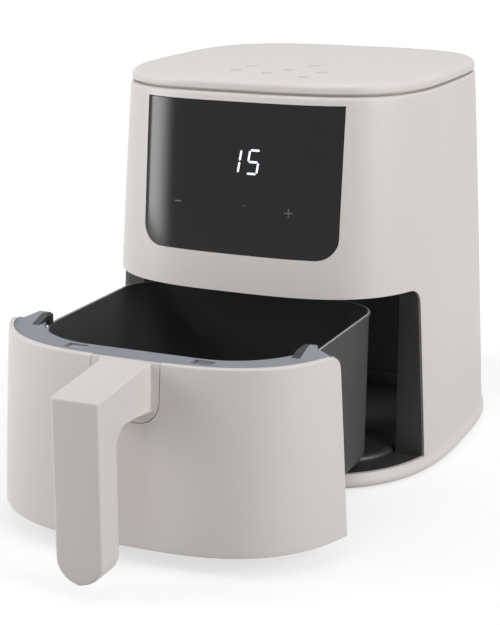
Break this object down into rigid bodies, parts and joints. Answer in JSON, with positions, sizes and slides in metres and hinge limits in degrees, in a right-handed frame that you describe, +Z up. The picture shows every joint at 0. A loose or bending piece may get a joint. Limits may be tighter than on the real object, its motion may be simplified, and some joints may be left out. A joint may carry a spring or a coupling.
{
  "type": "air fryer",
  "caption": "Drawer air fryer with a tapered rounded housing, touch lid, curved display, pull-out pan on a hanging handle, perforated tray, heater and fan.",
  "frame": {"origin": "on the table, under the middle of the whole object with its drawer pulled out", "axes": "+Z up, +X to the right of someone who faces the display, the drawer pulls out along -Y"},
  "size_m": [0.2806, 0.542, 0.3],
  "materials": {
    "cream": "satin moulded plastic",
    "cream_inner": "matt moulded plastic",
    "black_plastic": "matt black heat-proof plastic",
    "display": "black tinted glass",
    "frame_grey": "satin dark grey plastic",
    "nonstick": "non-stick coating",
    "steel": "plain steel",
    "element": "oxidised steel sheath",
    "aluminium": "pressed aluminium",
    "rubber": "matt rubber",
    "circuit": "printed circuit board",
    "led": "dark display module"
  },
  "bodies": {
    "housing": {"housing_shell": "cream", "base_plate": "cream_inner", "feet": "rubber", "base_screws": "steel", "top_lid": "cream", "lid_ring": "cream_inner", "touch_board": "circuit", "display_glass": "display", "display_frame": "black_plastic", "led_module": "led", "control_board": "circuit", "power_board": "circuit", "cavity_floor": "black_plastic", "cavity_liner": "black_plastic", "cavity_deck": "black_plastic", "reflector": "aluminium", "heating_element": "element", "element_guard": "steel", "temperature_probe": "steel", "thermal_fuse": "cream_inner", "fan_motor": "steel", "motor_bracket": "steel", "motor_screws": "steel", "rear_grille": "black_plastic", "cord_gland": "rubber", "drawer_switch": "frame_grey"},
    "drawer": {"drawer_front": "cream", "drawer_frame": "frame_grey", "guide_wedges": "black_plastic", "pan": "nonstick", "pan_hooks": "steel", "handle": "cream", "handle_screws": "steel"},
    "tray": {"crisper_tray": "nonstick", "tray_bumpers": "rubber"},
    "rotor": {"motor_shaft": "steel", "convection_fan": "aluminium", "cooling_fan": "frame_grey", "fan_nut": "steel"},
    "plunger": {"switch_plunger": "cream_inner"}
  },
  "joints": [
    {"name": "drawer_slide", "type": "slide", "parent": "housing", "child": "drawer", "axis": [0, -1, 0], "range_m": [-0.167, 0.035]},
    {"name": "tray_lift", "type": "slide", "parent": "drawer", "child": "tray", "axis": [0, 0, 1], "range_m": [0, 0.11]},
    {"name": "fan_spin", "type": "hinge", "parent": "housing", "child": "rotor", "pos_m": [0, 0.05996, 0.2], "axis": [0, 0, 1], "continuous": true},
    {"name": "switch_press", "type": "slide", "parent": "housing", "child": "plunger", "axis": [0, 1, 0], "range_m": [0, 0.002], "stiffness_N_per_m": 150}
  ]
}
